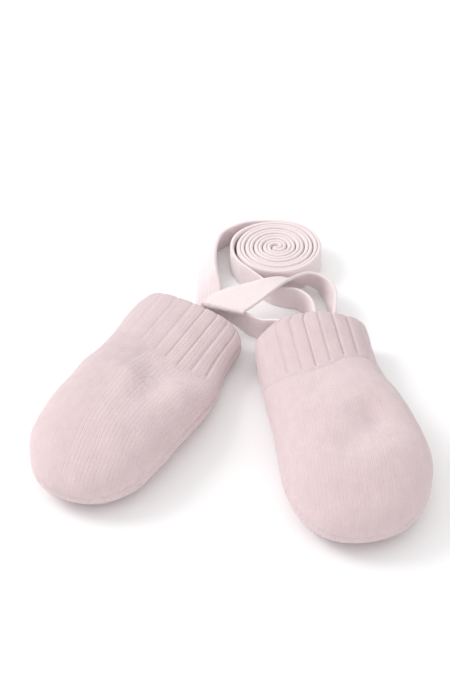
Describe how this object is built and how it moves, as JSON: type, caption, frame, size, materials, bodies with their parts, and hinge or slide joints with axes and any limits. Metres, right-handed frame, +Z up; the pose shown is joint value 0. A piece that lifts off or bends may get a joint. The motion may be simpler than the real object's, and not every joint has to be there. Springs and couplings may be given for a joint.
{
  "type": "pair of baby mittens on a strap",
  "caption": "Thumbless knitted baby mittens with ribbed cuffs, joined by a long flat knitted strap that is wound into a roll.",
  "frame": {"origin": "on the surface that the pair lies on, under the middle of its outline", "axes": "+Z up, +Y from the fingertips towards the cuffs and the rolled strap, +X to the right as seen from the fingertips"},
  "size_m": [0.153, 0.1951, 0.027],
  "materials": {
    "hand_knit": "soft brushed fine knit, matt",
    "cuff_rib": "ribbed knit, matt",
    "strap_knit": "flat fine knit, matt"
  },
  "bodies": {
    "root": {"mitten_left_hand_top": "hand_knit", "mitten_left_hand_palm": "hand_knit", "mitten_left_cuff_top": "cuff_rib", "mitten_left_cuff_under": "cuff_rib", "mitten_right_hand_top": "hand_knit", "mitten_right_hand_palm": "hand_knit", "mitten_right_cuff_top": "cuff_rib", "mitten_right_cuff_under": "cuff_rib", "strap_roll": "strap_knit", "strap_run_to_left_cuff": "strap_knit", "strap_run_to_right_cuff": "strap_knit", "strap_crossing": "strap_knit", "strap_loop": "strap_knit", "strap_front_run": "strap_knit"}
  },
  "joints": []
}
